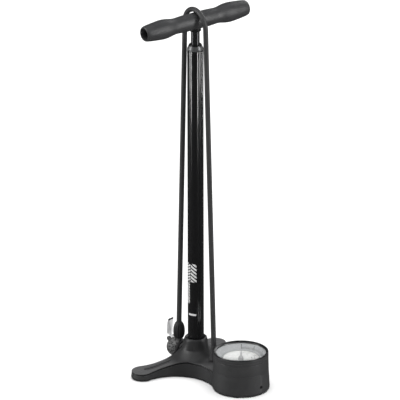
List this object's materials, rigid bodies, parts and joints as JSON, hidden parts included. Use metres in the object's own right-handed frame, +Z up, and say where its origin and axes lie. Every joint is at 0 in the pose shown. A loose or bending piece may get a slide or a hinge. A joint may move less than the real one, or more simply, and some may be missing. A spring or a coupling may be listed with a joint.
{
  "type": "floor bike pump",
  "caption": "Floor bike pump: tripod foot with sunk pressure gauge, long black barrel, T handle, hose over the handle and a lever head docked behind the stem.",
  "frame": {"origin": "on the ground, centre of the footprint box of the pump without its hose and head; the barrel axis is 49.5 mm behind it (+Y)", "axes": "+Z up along the barrel; -Y towards the pressure gauge; +X to the right seen from the gauge side"},
  "size_m": [0.2208, 0.2269, 0.6838],
  "materials": {
    "casting_plastic": "satin moulded, fine texture",
    "barrel_paint": "gloss",
    "cap_alloy": "satin grey",
    "steel": "dark polished",
    "grip_plastic": "fine grain",
    "rubber": "matte",
    "hose_rubber": "matte",
    "brass": "machined",
    "alloy": "satin",
    "plated_steel": "zinc plated",
    "dial_white": "printed",
    "chapter_grey": "satin",
    "needle_paint": "satin",
    "lens_clear": "clear polished",
    "bezel_black": "semi-gloss",
    "head_plastic": "coarse grain",
    "acetal": "natural"
  },
  "bodies": {
    "base": {"base_casting": "casting_plastic", "foot_left": "rubber", "foot_right": "rubber", "foot_front_left": "rubber", "foot_front_right": "rubber", "barrel_tube": "barrel_paint", "barrel_top_cap": "cap_alloy", "rod_bushing": "bezel_black", "barrel_foot_plug": "brass", "plug_seal_ring": "rubber", "check_valve_spring": "plated_steel", "hose_gland_nut": "bezel_black", "hose_gland_barb": "brass", "gauge_case": "casting_plastic", "gauge_lock_screw": "steel", "gauge_bezel": "bezel_black", "gauge_lens": "lens_clear", "gauge_chapter_ring": "chapter_grey", "gauge_dial": "dial_white", "gauge_movement": "plated_steel", "bourdon_tube": "brass", "gauge_inlet_block": "brass", "hose_upper": "hose_rubber", "hose_lower": "hose_rubber"},
    "piston": {"piston_rod": "steel", "piston_head": "acetal", "piston_cup_seal": "rubber", "piston_washer": "plated_steel", "piston_nut": "plated_steel"},
    "handle": {"handle_grip": "grip_plastic", "handle_ferrule": "bezel_black"},
    "needle": {"gauge_needle": "needle_paint", "needle_hub": "needle_paint"},
    "pump_head": {"head_body": "head_plastic", "head_ring": "head_plastic", "valve_grommet": "rubber", "lever_pin": "plated_steel", "hose_collar": "rubber", "hose_barb": "brass"},
    "head_plunger": {"head_plunger": "acetal"},
    "head_lever": {"head_lever": "alloy"},
    "valve_ball": {"check_valve_ball": "plated_steel"}
  },
  "joints": [
    {"name": "piston_slide", "type": "slide", "parent": "base", "child": "piston", "axis": [0, 0, 1], "range_m": [0, 0.48], "deforming": ["hose_upper"]},
    {"name": "handle_turn", "type": "hinge", "parent": "piston", "child": "handle", "pos_m": [0, 0.0495, 0.659], "axis": [0, 0, 1], "range_deg": [-35, 35]},
    {"name": "needle_turn", "type": "hinge", "parent": "base", "child": "needle", "pos_m": [0, -0.0613, 0.0548], "axis": [0, 0, -1], "range_deg": [0, 270], "stiffness_Nm_per_rad": 0.0001},
    {"name": "head_undock", "type": "slide", "parent": "base", "child": "pump_head", "axis": [0, 1, 0], "range_m": [0, 0.04], "deforming": ["hose_lower"]},
    {"name": "lever_flip", "type": "hinge", "parent": "pump_head", "child": "head_lever", "pos_m": [0, 0.1105, 0.044], "axis": [1, 0, 0], "range_deg": [-90, 0]},
    {"name": "plunger_slide", "type": "slide", "parent": "pump_head", "child": "head_plunger", "axis": [0, -1, 0], "range_m": [0, 0.0021]},
    {"name": "valve_ball_lift", "type": "slide", "parent": "base", "child": "valve_ball", "axis": [0, 0, -1], "range_m": [0, 0.0015], "stiffness_N_per_m": 40, "springref_m": -0.002, "deforming": ["check_valve_spring"]}
  ],
  "couplings": [
    {"joint": "plunger_slide", "follows": "lever_flip", "m_per_rad": -0.0013}
  ]
}
